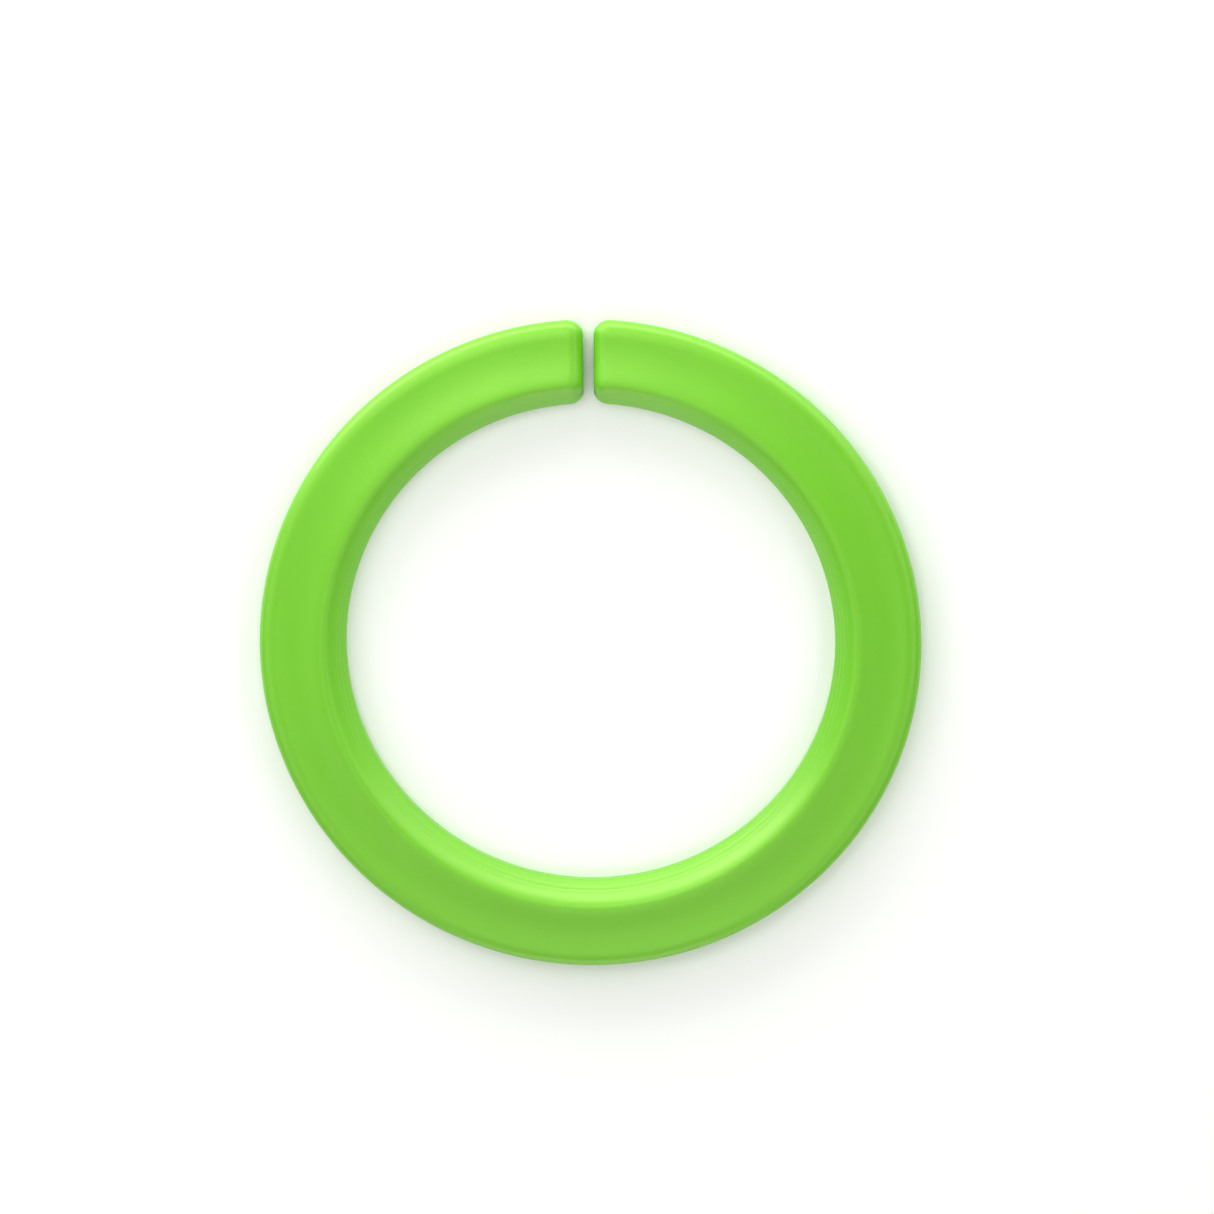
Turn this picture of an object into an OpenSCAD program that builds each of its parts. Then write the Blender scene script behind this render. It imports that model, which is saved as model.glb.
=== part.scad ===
// Flexible split flying ring: a springy C-shaped core moulded into a soft aerofoil-section skin.
// The ring lies flat on Z = 0, its centre is on the Z axis, and the split faces +Y.
// Core and skin are continuous pieces on the real ring. Each is stored as a back and two arms that
// meet at the flex lines, so that the arms can be spread.

/* [Ring] */
// Outside diameter
ring_od = 160; // [150:1:175]
// Width of the band, from the hole to the rim
band_w = 20.9; // [19:0.1:23]
// Height of the crest above the resting face
crest_h = 9.6; // [9:0.1:10.5]
// Distance of the crest from the hole, as a share of the band width
crest_at = 0.285; // [0.26:0.005:0.33]
// Height of the upright wall around the hole
wall_h = 4; // [3.2:0.1:4.4]
// Height of the rim's widest line
rim_h = 5; // [4.4:0.1:5.6]
// Rounding of the lower edge at the hole
foot_r = 1.2; // [0.6:0.1:1.6]

/* [Split] */
// Gap between the two end faces
split_gap = 2.6; // [1.6:0.1:5]
// Corner radius of the ends, seen from above
end_corner_r = 4; // [2:0.1:5]
// Rounding of the upper edge of each end
end_top_r = 3.2; // [1.5:0.1:4]
// Rounding of the lower edge of each end
end_foot_r = 1.2; // [0.6:0.1:1.6]

/* [Core] */
// Width of the core strip
core_w = 10; // [8:0.5:12]
// Thickness of the core strip
core_t = 2.2; // [1.6:0.1:2.6]
// Height of the core's underside above the resting face
core_z = 3; // [2.4:0.1:3.4]
// Distance of the core from the hole wall
core_in = 5.2; // [4:0.1:5.6]
// Angle by which the core stops short of each end
core_short = 7; // [6:0.5:12]
// Diameter of the holes that lock the skin to the core
lock_d = 4; // [2.5:0.25:5]

/* [Flex] */
// Angle from the middle of the back to each flex line
flex_angle = 53.5; // [48:0.5:60]
// Angular clearance at each flex line
flex_clear = 0.28; // [0.26:0.01:0.4]

/* [Hidden] */
$fn = 64;
ro = ring_od / 2;
ri = ro - band_w;
seat = -90;
left_cut = 270 - flex_angle;
end_angle = 90;
far = ring_od;
half_gap = split_gap / 2;

// a point on a cubic curve through a and d with handles b and c
function bez(a, b, c, d, s) =
    pow(1 - s, 3) * a + 3 * pow(1 - s, 2) * s * b + 3 * (1 - s) * s * s * c + s * s * s * d;
function curve(a, b, c, d, n) = [for (i = [1:n]) bez(a, b, c, d, i / n)];

w = band_w;
h = crest_h;
wall_top = [0, wall_h];
crest = [crest_at * w, h];
knee = [0.8 * w, 0.815 * h];
rim = [w, rim_h];
under = [0.75 * w, 0];
foot = [foot_r, 0];
foot_top = [0, foot_r];

section = concat(
    [foot_top, wall_top],
    curve(wall_top, [0.024 * w, 0.48 * h], [0.688 * crest[0], h], crest, 12),
    curve(crest, [crest[0] + 0.11 * w, h], [0.507 * w, 0.845 * h], knee, 12),
    curve(knee, [0.89 * w, 0.81 * h], [w, 0.74 * h], rim, 8),
    curve(rim, [w, 0.45 * rim_h], [0.89 * w, 0], under, 8),
    [foot],
    [for (i = [1:4]) [foot_r - foot_r * sin(i * 18), foot_r - foot_r * cos(i * 18)]]
);

// the band's section swept from one angle to another
module band(from, to) {
    rotate([0, 0, from])
        rotate_extrude(angle = to - from, $fn = 180)
            translate([ri, 0])
                polygon(section);
}

// the core strip swept from one angle to another
module strip(from, to) {
    rotate([0, 0, from])
        rotate_extrude(angle = to - from, $fn = 180)
            translate([ri + core_in, core_z])
                square([core_w, core_t]);
}

// a lock hole through the core at an angle
module lock_hole(at) {
    rotate([0, 0, at])
        translate([ri + core_in + core_w / 2, 0, core_z - 1])
            cylinder(d = lock_d, h = core_t + 2);
}

// what rounds the two plan corners of an arm's end at x = -half_gap
module corner_cutters() {
    r = end_corner_r;
    cx = -half_gap - r;
    oy = sqrt(pow(ro - r, 2) - cx * cx);
    iy = sqrt(pow(ri + r, 2) - cx * cx);
    od = [cx, oy] / (ro - r);
    id = [cx, iy] / (ri + r);
    translate([0, 0, -1])
        difference() {
            linear_extrude(h + 2)
                polygon([[cx, oy], [cx, oy] + od * 4 * r, [1, ro + 4 * r], [1, oy]]);
            translate([cx, oy, -1])
                cylinder(r = r, h = h + 4);
        }
    translate([0, 0, -1])
        difference() {
            linear_extrude(h + 2)
                polygon([[cx, iy], [1, iy], [1, ri - 4 * r], [cx, iy] - id * 4 * r]);
            translate([cx, iy, -1])
                cylinder(r = r, h = h + 4);
        }
}

// what rounds the upper and lower edges of an arm's end face
module edge_cutters() {
    tr = end_top_r;
    fr = end_foot_r;
    difference() {
        translate([-half_gap - tr, ri - 5, h - tr])
            cube([tr + 1, w + 10, tr + 1]);
        translate([-half_gap - tr, ri - 6, h - tr])
            rotate([-90, 0, 0])
                cylinder(r = tr, h = w + 12);
    }
    difference() {
        translate([-half_gap - fr, ri - 5, -1])
            cube([fr + 1, w + 10, fr + 1]);
        translate([-half_gap - fr, ri - 6, fr])
            rotate([-90, 0, 0])
                cylinder(r = fr, h = w + 12);
    }
}

// core of the left arm, rounded at its free end
module core_arm() {
    cut = left_cut - flex_clear;
    tip = end_angle + core_short;
    difference() {
        union() {
            strip(tip, cut);
            rotate([0, 0, tip])
                translate([ri + core_in + core_w / 2, 0, core_z])
                    cylinder(d = core_w, h = core_t);
        }
        for (i = [0:6])
            lock_hole(tip + 5 + i * (cut - tip - 14) / 6);
    }
}

module core_mid() {
    difference() {
        strip(left_cut, left_cut + 2 * flex_angle);
        for (i = [-2:2])
            lock_hole(seat + i * flex_angle / 2.5);
    }
}

// soft skin of the left arm, moulded around its core
module skin_arm() {
    difference() {
        band(end_angle, left_cut - flex_clear);
        translate([-half_gap, 0, -1])
            cube([far, far, h + 2]);
        corner_cutters();
        edge_cutters();
        core_arm();
    }
}

module skin_back() {
    color([0.44, 0.72, 0.2])
        difference() {
            band(left_cut, left_cut + 2 * flex_angle);
            core_mid();
        }
}

module skin_left() {
    color([0.44, 0.72, 0.2])
        skin_arm();
}

module skin_right() {
    color([0.44, 0.72, 0.2])
        mirror([1, 0, 0])
            skin_arm();
}

module core_back() {
    color([0.85, 0.86, 0.82])
        core_mid();
}

module core_left() {
    color([0.85, 0.86, 0.82])
        core_arm();
}

module core_right() {
    color([0.85, 0.86, 0.82])
        mirror([1, 0, 0])
            core_arm();
}

skin_back();
skin_left();
skin_right();
core_back();
core_left();
core_right();
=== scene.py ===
import math

import bmesh
import bpy
import numpy as np
from mathutils import Matrix, Vector


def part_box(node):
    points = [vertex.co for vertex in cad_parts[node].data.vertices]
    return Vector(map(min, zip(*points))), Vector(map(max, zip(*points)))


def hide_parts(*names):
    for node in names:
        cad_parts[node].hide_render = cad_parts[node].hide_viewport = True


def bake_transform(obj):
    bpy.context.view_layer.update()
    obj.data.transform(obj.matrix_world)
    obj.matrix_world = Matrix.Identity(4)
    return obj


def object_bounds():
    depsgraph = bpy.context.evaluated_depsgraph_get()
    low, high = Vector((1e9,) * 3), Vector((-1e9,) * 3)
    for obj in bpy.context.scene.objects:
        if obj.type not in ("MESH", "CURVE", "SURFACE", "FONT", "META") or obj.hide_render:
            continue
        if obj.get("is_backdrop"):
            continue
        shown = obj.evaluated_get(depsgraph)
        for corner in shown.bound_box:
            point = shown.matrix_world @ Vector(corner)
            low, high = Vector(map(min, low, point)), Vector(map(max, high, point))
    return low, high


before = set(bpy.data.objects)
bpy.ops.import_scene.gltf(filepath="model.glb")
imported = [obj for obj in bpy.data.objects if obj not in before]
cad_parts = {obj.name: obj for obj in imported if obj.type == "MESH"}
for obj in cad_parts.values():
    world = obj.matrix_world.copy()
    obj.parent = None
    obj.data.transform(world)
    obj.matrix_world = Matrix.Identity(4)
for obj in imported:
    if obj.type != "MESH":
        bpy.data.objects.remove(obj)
cad_low, cad_high = (Vector(c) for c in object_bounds())

# --- the band, in metres: it lies on z = 0 round the origin, with the split at +Y ---
MM = 0.001
OUTER_R = (cad_high.x - cad_low.x) / 2
CREST_H = cad_high.z - cad_low.z
BAND_W = 20.9 * MM
HOLE_R = OUTER_R - BAND_W
MIDDLE_R = OUTER_R - BAND_W / 2
HALF_GAP = -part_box("skin_left")[1].x

# the section: rounding of its foot, height of the hole's wall and of the rim, and place of the crest
FOOT_R = 1.2 * MM
WALL_H = 4.0 * MM
RIM_H = 5.0 * MM
CREST_AT = 0.285 * BAND_W

# rounding of each arm's end towards the hole, the rim, the top and the underside
END_IN = 3.2 * MM
END_OUT = 4.2 * MM
END_TOP = 3.4 * MM
END_FOOT = 1.6 * MM

# the line inside the section that a rounded end draws in to: its height and its reach across the band
SPINE_Z = 4.2 * MM
SPINE_IN = 4.3 * MM
SPINE_OUT = BAND_W - 4.6 * MM

# distances past the rounding: evening out the end radii, then turning the rings towards the centre
EVEN_OUT = 18 * MM
TURN_FROM, TURN_TO = 5 * MM, 52 * MM

# fine lines that the mould leaves: distance from the hole and rise of those on the bevel
BEVEL_LINES = [(1.0 * MM, 0.045 * MM), (1.75 * MM, 0.07 * MM), (2.6 * MM, 0.035 * MM)]
RIM_LINE_RISE = 0.025 * MM
LINE_WIDE = 0.15 * MM

# mesh steps: round the section, round it near a fine line, along the band and in the core
STEP_ROUND = 0.36 * MM
STEP_FINE = 0.08 * MM
NEAR_LINE = 0.7 * MM
STEP_ALONG = 1.4 * MM
END_RINGS = 13
TIP_STEPS = 12
CORE_STEPS = 116
LOCK_SIDES = 40
SHARP = math.radians(30)

# --- the core: a springy strip inside the skin, with lock holes that the skin fills ---
CORE_W = 10 * MM
CORE_T = 2.2 * MM
CORE_Z = 3.0 * MM
CORE_R = HOLE_R + 5.2 * MM + CORE_W / 2
CORE_EDGE = 0.3 * MM
LOCK_R = 2.0 * MM

# angles in degrees from the split: the core's tip, and the lock holes in an arm and in half of the back
HALF_BACK = 53.5
TIP_AT = 7
LOCK_STEP = 17.54
ARM_LOCKS = TIP_AT + 5 + LOCK_STEP * np.arange(7)
BACK_LOCKS = 180 - HALF_BACK / 2.5 * np.arange(3)


# --- shared helpers ---
def smooth(x, a, b):
    """0 up to a, 1 from b, and an even rise between them."""
    t = np.clip((x - a) / (b - a), 0, 1)
    return t * t * (3 - 2 * t)


def add_object(name, data):
    obj = bpy.data.objects.new(name, data)
    bpy.context.scene.collection.objects.link(obj)
    return obj


def to_mesh(bm, name):
    mesh = bpy.data.meshes.new(name)
    bm.to_mesh(mesh)
    bm.free()
    return mesh


def add_vectors(mesh, name, values):
    """Stores one vector for each vertex, which the textures are fixed to."""
    layer = mesh.attributes.new(name, "FLOAT_VECTOR", "POINT")
    layer.data.foreach_set("vector", np.asarray(values, np.float32).reshape(-1))


def add_rest_places(mesh):
    add_vectors(mesh, "rest_at", [v.co[:] for v in mesh.vertices])


def strip_faces(rings, points):
    """Faces between rings that each have the same number of points, and the first and last ring's faces."""
    index = np.arange(rings * points).reshape(rings, points)
    after = np.roll(index, -1, axis=1)
    quads = np.stack([index[:-1], index[1:], after[1:], after[:-1]], -1).reshape(-1, 4)
    return quads.tolist(), [index[0].tolist(), index[-1][::-1].tolist()]


# --- the section: u runs from the hole's wall outwards, z up from the resting face ---
def curve(a, b, c, d, n=60):
    """Points of the cubic curve from a to d with handles b and c, without a itself."""
    s = np.linspace(0, 1, n + 1)[1:, None]
    a, b, c, d = (np.array(p) for p in (a, b, c, d))
    return (1 - s) ** 3 * a + 3 * (1 - s) ** 2 * s * b + 3 * (1 - s) * s * s * c + s**3 * d


def outline():
    """The section's plain outline, clockwise from the hole's wall."""
    wall_top, crest = (0, WALL_H), (CREST_AT, CREST_H)
    knee, rim = (0.80 * BAND_W, 0.815 * CREST_H), (BAND_W, RIM_H)
    under = (0.75 * BAND_W, 0)
    wall = np.stack([np.zeros(20), np.linspace(FOOT_R, WALL_H, 21)[1:]], 1)
    turn = np.linspace(0, math.pi / 2, 24)[:, None]
    foot = FOOT_R - FOOT_R * np.hstack([np.sin(turn), np.cos(turn)])
    return np.vstack(
        [
            wall,
            curve(wall_top, (0.024 * BAND_W, 0.48 * CREST_H), (0.688 * CREST_AT, CREST_H), crest),
            curve(crest, (CREST_AT + 0.11 * BAND_W, CREST_H), (0.507 * BAND_W, 0.845 * CREST_H), knee),
            curve(knee, (0.89 * BAND_W, 0.81 * CREST_H), (BAND_W, 0.74 * CREST_H), rim),
            curve(rim, (BAND_W, 0.45 * RIM_H), (0.89 * BAND_W, 0), under),
            foot,
        ]
    )


def section():
    """Points, outward normals and arc lengths round the section, with the fine lines raised."""
    raw = outline()
    closed = np.vstack([raw, raw[:1]])
    along = np.concatenate([[0], np.cumsum(np.linalg.norm(np.diff(closed, axis=0), axis=1))])
    whole = along[-1]
    upper = raw[:, 1] > WALL_H
    lines = [(along[:-1][upper][np.argmin(abs(raw[upper, 0] - u))], rise) for u, rise in BEVEL_LINES]
    lines.append((along[:-1][np.argmax(raw[:, 0])], RIM_LINE_RISE))
    stops, s = [], 0.0
    while s < whole - 0.4 * STEP_ROUND:
        stops.append(s)
        near = min(min(abs(s - at), abs(s + whole - at)) for at, rise in lines)
        s += STEP_FINE if near < NEAR_LINE else STEP_ROUND
    stops = np.array(stops)
    pts = np.stack([np.interp(stops, along, closed[:, k]) for k in (0, 1)], 1)
    tangent = np.roll(pts, -1, axis=0) - np.roll(pts, 1, axis=0)
    tangent /= np.linalg.norm(tangent, axis=1, keepdims=True)
    normal = np.stack([-tangent[:, 1], tangent[:, 0]], 1)
    ridge = sum(rise * np.exp(-(((stops - at) / LINE_WIDE) ** 2)) for at, rise in lines)
    pts = pts + normal * ridge[:, None]
    pts[:, 0] = np.minimum(pts[:, 0], BAND_W)
    return pts, normal, stops


# --- the skin ---
def end_rounding(normal):
    """Each section point's end radius, from the way that it faces."""
    inward, outward = np.maximum(-normal[:, 0], 0) ** 2, np.maximum(normal[:, 0], 0) ** 2
    down, up = np.maximum(-normal[:, 1], 0) ** 2, np.maximum(normal[:, 1], 0) ** 2
    return END_IN * inward + END_OUT * outward + END_TOP * up + END_FOOT * down


def ring_stations(rounding, mean, reach, length):
    """For each ring from the end face on: the section's size as a share of its full size, each point's
    distance from the end face, and the distance past the rounding."""
    stations = []
    for tilt in np.radians(np.linspace(90, 0, END_RINGS)):
        size = 1 - rounding * (1 - math.cos(tilt)) / reach
        stations.append((size, rounding * (1 - math.sin(tilt)), 0.0))
    past = [0.5 * MM, 1.1 * MM, 2.0 * MM, 3.1 * MM]
    while past[-1] < length - 1.6 * STEP_ALONG:
        past.append(past[-1] + STEP_ALONG)
    past += [length - 0.4 * MM, length - 0.1 * MM, length]
    for far in past:
        drift = smooth(far, 0, EVEN_OUT)
        stations.append((1.0, rounding * (1 - drift) + mean * drift + far, far))
    return stations


def skin_rings(pts, normal, stops):
    """Rings of points for the left half, from the split to the middle of the back, and for each point its
    place on the unrolled skin: distance along the band, and distance round the section."""
    u, z = pts[:, 0], pts[:, 1]
    rounding = end_rounding(normal)
    mean = float(np.mean(rounding))
    spine_u = np.clip(u, SPINE_IN, SPINE_OUT)
    reach = np.hypot(u - spine_u, z - SPINE_Z)
    end_angle = (HALF_GAP + mean) / MIDDLE_R
    length = (math.pi - end_angle) * MIDDLE_R
    verts, unrolled = [], []
    for size, s, far in ring_stations(rounding, mean, reach, length):
        r = HOLE_R + spine_u + (u - spine_u) * size
        height = SPINE_Z + (z - SPINE_Z) * size
        # near the split a ring is parallel to the end face, and further round it points to the centre
        flat = np.arcsin(np.clip((HALF_GAP + s) / r, -0.97, 0.97))
        radial = end_angle + (math.pi - end_angle) * far / length + (s - mean - far) / MIDDLE_R
        share = smooth(far, TURN_FROM, TURN_TO)
        angle = flat * (1 - share) + radial * share
        if far == length:
            angle = np.full(len(u), math.pi)
        verts.append(np.stack([-r * np.sin(angle), r * np.cos(angle), height], 1))
        unrolled.append(np.stack([angle * MIDDLE_R, stops, np.zeros(len(u))], 1))
    return np.array(verts), np.array(unrolled)


def skin_half(name, side):
    """Half of the skin as a closed mesh, shaded smooth but for the flat face in the middle of the back."""
    verts, unrolled = skin_rings(*section())
    verts[..., 0] *= -side
    rings, points = verts.shape[:2]
    quads, (end_face, back_face) = strip_faces(rings, points)
    mesh = bpy.data.meshes.new(name)
    mesh.from_pydata(verts.reshape(-1, 3).tolist(), [], quads + [end_face, back_face])
    mesh.polygons.foreach_set("use_smooth", [True] * len(mesh.polygons))
    mesh.polygons[len(quads) + 1].use_smooth = False
    in_back = set(back_face)
    for edge in mesh.edges:
        edge.use_edge_sharp = in_back.issuperset(edge.vertices)
    add_vectors(mesh, "skin_at", unrolled)
    add_rest_places(mesh)
    bm = bmesh.new()
    bm.from_mesh(mesh)
    bmesh.ops.recalc_face_normals(bm, faces=bm.faces)
    bm.to_mesh(mesh)
    bm.free()
    return add_object(name, mesh)


# --- the core ---
def core_section(half_width):
    """The strip's outline with its four long edges cut at 45 degrees."""
    e = min(CORE_EDGE, half_width / 2)
    low, top = CORE_Z, CORE_Z + CORE_T
    left = [(-half_width + e, low), (-half_width, low + e), (-half_width, top - e), (-half_width + e, top)]
    return left + [(-u, z) for u, z in reversed(left)]


def core_strip(name, side):
    """Half of the core, from its round tip to the middle of the back, before the holes are cut."""
    half = CORE_W / 2
    tip = math.radians(TIP_AT)
    turns = np.radians(np.linspace(86, 4, TIP_STEPS))
    stations = [(-half * math.sin(a) / CORE_R, half * math.cos(a)) for a in turns]
    stations += [(a, half) for a in np.linspace(0, math.pi - tip, CORE_STEPS)]
    bm = bmesh.new()
    for a, half_width in stations:
        for u, z in core_section(half_width):
            r, angle = CORE_R + u, tip + a
            bm.verts.new((side * r * math.sin(angle), r * math.cos(angle), z))
    bm.verts.ensure_lookup_table()
    quads, end_faces = strip_faces(len(stations), len(core_section(half)))
    for face in quads + end_faces:
        bm.faces.new([bm.verts[i] for i in face])
    bmesh.ops.recalc_face_normals(bm, faces=bm.faces)
    return add_object(name, to_mesh(bm, name))


def lock_drills(side):
    """Cylinders where the lock holes go."""
    bm = bmesh.new()
    for angle in np.radians([*ARM_LOCKS, *BACK_LOCKS]):
        where = (side * CORE_R * math.sin(angle), CORE_R * math.cos(angle), CORE_Z + CORE_T / 2)
        bmesh.ops.create_cone(
            bm,
            cap_ends=True,
            segments=LOCK_SIDES,
            radius1=LOCK_R,
            radius2=LOCK_R,
            depth=3 * CORE_T,
            matrix=Matrix.Translation(where),
        )
    return add_object("drills", to_mesh(bm, "drills"))


def subtract(obj, tool):
    """Cuts tool out of obj, and removes tool."""
    cut = obj.modifiers.new("holes", "BOOLEAN")
    cut.operation, cut.solver, cut.object = "DIFFERENCE", "EXACT", tool
    bpy.context.view_layer.update()
    evaluated = obj.evaluated_get(bpy.context.evaluated_depsgraph_get())
    result = bpy.data.meshes.new_from_object(evaluated)
    uncut, tool_mesh = obj.data, tool.data
    obj.modifiers.clear()
    obj.data = result
    bpy.data.objects.remove(tool)
    bpy.data.meshes.remove(tool_mesh)
    bpy.data.meshes.remove(uncut)
    result.name = obj.name


def core_half(name, side):
    """Half of the core with its lock holes, as a closed mesh."""
    obj = core_strip(name, side)
    subtract(obj, lock_drills(side))
    bm = bmesh.new()
    bm.from_mesh(obj.data)
    bmesh.ops.remove_doubles(bm, verts=bm.verts, dist=0.001 * MM)
    for face in bm.faces:
        face.smooth = True
    for edge in bm.edges:
        edge.smooth = edge.calc_face_angle(math.pi) < SHARP
    bm.to_mesh(obj.data)
    bm.free()
    add_rest_places(obj.data)
    return obj


# --- materials ---
SKIN_GREEN = (0.131, 0.498, 0.0125, 1)
SKIN_SHEEN = (1, 0.9, 0.55, 1)
CORE_WHITE = (0.72, 0.73, 0.68, 1)
PAPER_WHITE = (0.928, 0.94, 0.905, 1)


class Nodes:
    """A short way to write a material's node tree."""

    def __init__(self, name):
        self.material = bpy.data.materials.new(name)
        self.material.use_nodes = True
        self.tree = self.material.node_tree
        self.shader = self.tree.nodes["Principled BSDF"]

    def add(self, kind, inputs, **settings):
        node = self.tree.nodes.new(kind)
        for key, value in settings.items():
            setattr(node, key, value)
        for key, value in inputs.items():
            self.put(node, key, value)
        return node

    def put(self, node, key, value):
        if isinstance(value, bpy.types.NodeSocket):
            self.tree.links.new(value, node.inputs[key])
        else:
            node.inputs[key].default_value = value

    def attribute(self, name):
        return self.add("ShaderNodeAttribute", {}, attribute_name=name).outputs["Vector"]

    def scaled(self, vector, by):
        return self.add("ShaderNodeVectorMath", {0: vector, 1: by}, operation="MULTIPLY").outputs[0]

    def noise(self, vector, scale, detail=2.0, rough=0.5):
        inputs = {"Vector": vector, "Scale": scale, "Detail": detail, "Roughness": rough}
        return self.add("ShaderNodeTexNoise", inputs).outputs["Fac"]

    def span(self, value, low, high):
        """A value from 0 to 1, spread from low to high."""
        return self.add("ShaderNodeMapRange", {"Value": value, "To Min": low, "To Max": high}).outputs[0]

    def total(self, first, second):
        return self.add("ShaderNodeMath", {0: first, 1: second}, operation="ADD").outputs[0]

    def shaded(self, colour, value):
        """The colour, made lighter or darker by a value near 1."""
        return self.add("ShaderNodeHueSaturation", {"Color": colour, "Value": value}).outputs[0]

    def bump(self, height, strength, depth, below=None):
        """A relief with a depth in metres, laid over the relief below it."""
        inputs = {"Height": height, "Strength": strength, "Distance": depth}
        if below is not None:
            inputs["Normal"] = below
        return self.add("ShaderNodeBump", inputs).outputs[0]


def skin_material():
    m = Nodes("skin_soft")
    at, place = m.attribute("skin_at"), m.attribute("rest_at")
    # colour: soft clouds and a fine speckle in the pigment
    clouds = m.noise(place, 38, 3)
    speckle = m.noise(place, 1500, 2)
    value = m.total(m.span(clouds, 0.955, 1.045), m.span(speckle, -0.02, 0.02))
    m.put(m.shader, "Base Color", m.shaded(SKIN_GREEN, value))
    # polish: flow lines that run round the band, and a cloudy bloom
    flow = m.noise(m.scaled(at, (18, 1900, 0)), 1.0, 3, 0.6)
    bloom = m.noise(place, 90, 2)
    m.put(m.shader, "Roughness", m.total(m.span(flow, -0.035, 0.035), m.span(bloom, 0.36, 0.44)))
    # relief: mould grain, broader pebbles and the flow lines
    grain = m.bump(m.noise(place, 2600, 2, 0.55), 0.35, 0.03 * MM)
    pebbles = m.bump(m.noise(place, 900, 1), 0.3, 0.06 * MM, grain)
    m.put(m.shader, "Normal", m.bump(flow, 0.25, 0.05 * MM, pebbles))
    # a soft sheen that takes a little of the pigment's colour
    m.shader.inputs["IOR"].default_value = 1.65
    m.shader.inputs["Specular IOR Level"].default_value = 0.72
    m.shader.inputs["Specular Tint"].default_value = SKIN_SHEEN
    return m.material


def core_material():
    m = Nodes("core_plastic")
    place = m.attribute("rest_at")
    clouds = m.noise(place, 60, 3)
    speckle = m.noise(place, 1200, 2)
    value = m.total(m.span(clouds, 0.93, 1.05), m.span(speckle, -0.02, 0.02))
    m.put(m.shader, "Base Color", m.shaded(CORE_WHITE, value))
    m.put(m.shader, "Roughness", m.span(m.noise(place, 240, 3), 0.38, 0.52))
    m.put(m.shader, "Normal", m.bump(m.noise(place, 1800, 2), 0.3, 0.03 * MM))
    m.shader.inputs["IOR"].default_value = 1.49
    return m.material


def floor_material():
    m = Nodes("floor_paper")
    m.shader.inputs["Base Color"].default_value = PAPER_WHITE
    m.shader.inputs["Roughness"].default_value = 0.95
    m.shader.inputs["Specular IOR Level"].default_value = 0.1
    return m.material


for part, half, look in (("skin", skin_half, skin_material()), ("core", core_half, core_material())):
    for name, side in (("left", -1), ("right", 1)):
        piece = half(part + "_" + name + "_half", side)
        piece.data.materials.append(look)
        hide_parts(part + "_" + name, part + "_back")
        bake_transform(piece)


# --- camera: almost overhead and far away, with the ring a little off the middle of the view ---
CAM_DISTANCE = 10.0
CAM_AZIMUTH, CAM_ELEVATION = 83.5, 77.0
CAM_UP = Vector((0.008, 1, 0))
VIEW_WIDTH = 0.2936
SHIFT_X, SHIFT_Y = 0.0131, 0.0258
SENSOR = 36


def direction(azimuth, elevation):
    """The unit vector at two angles in degrees, with azimuth counted from +X towards +Y."""
    a, e = math.radians(azimuth), math.radians(elevation)
    return Vector((math.cos(a) * math.cos(e), math.sin(a) * math.cos(e), math.sin(e)))


def aim(obj, up):
    """Turns a camera or a lamp to face the ring's centre."""
    forward = -obj.location.normalized()
    right = forward.cross(up).normalized()
    top = right.cross(forward)
    obj.rotation_mode = "QUATERNION"
    obj.rotation_quaternion = Matrix((right, top, -forward)).transposed().to_quaternion()


cam_data = bpy.data.cameras.new("camera")
cam_data.sensor_width = SENSOR
cam_data.lens = SENSOR * CAM_DISTANCE / VIEW_WIDTH
cam_data.shift_x, cam_data.shift_y = SHIFT_X, SHIFT_Y
cam_data.clip_start, cam_data.clip_end = 0.5, 40
cam = add_object("camera", cam_data)
cam.location = direction(CAM_AZIMUTH, CAM_ELEVATION) * CAM_DISTANCE
aim(cam, CAM_UP)
bpy.context.scene.camera = cam

# --- floor ---
FLOOR_HALF = 2.5
floor_bm = bmesh.new()
bmesh.ops.create_grid(floor_bm, x_segments=8, y_segments=8, size=FLOOR_HALF)
floor = add_object("floor", to_mesh(floor_bm, "floor"))
floor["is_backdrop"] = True
floor.data.materials.append(floor_material())

# --- light: softboxes all round, and none from the world ---
LAMP_DISTANCE = 0.9
LAMP_HEIGHT = 0.40

bpy.context.scene.view_settings.view_transform = "Standard"
world = bpy.data.worlds.new("studio")
bpy.context.scene.world = world
world.use_nodes = True
world.node_tree.nodes["Background"].inputs["Strength"].default_value = 0.0


def lamps(name, azimuths, elevation, watts, width):
    """Equal softboxes at one elevation, which face the ring's centre."""
    up = Vector((0, 0, 1)) if elevation < 80 else Vector((0, 1, 0))
    for azimuth in azimuths:
        title = "%s_%d" % (name, azimuth)
        data = bpy.data.lights.new(title, "AREA")
        data.shape = "RECTANGLE"
        data.energy, data.size, data.size_y = watts, width, LAMP_HEIGHT
        obj = add_object(title, data)
        obj.location = direction(azimuth, elevation) * LAMP_DISTANCE
        aim(obj, up)


# the strongest are low behind the split, and a weaker one is in front
lamps("key", (90, 135), elevation=14, watts=5.0, width=0.72)
lamps("key_side", (45,), elevation=14, watts=2.5, width=0.72)
lamps("front", (270,), elevation=14, watts=2.0, width=0.72)
lamps("fill", (0, 45, 135, 180, 225, 315), elevation=38, watts=1.1, width=0.58)
lamps("high", (90, 135, 270), elevation=62, watts=1.0, width=0.35)
lamps("top", (90,), elevation=88, watts=0.5, width=0.40)
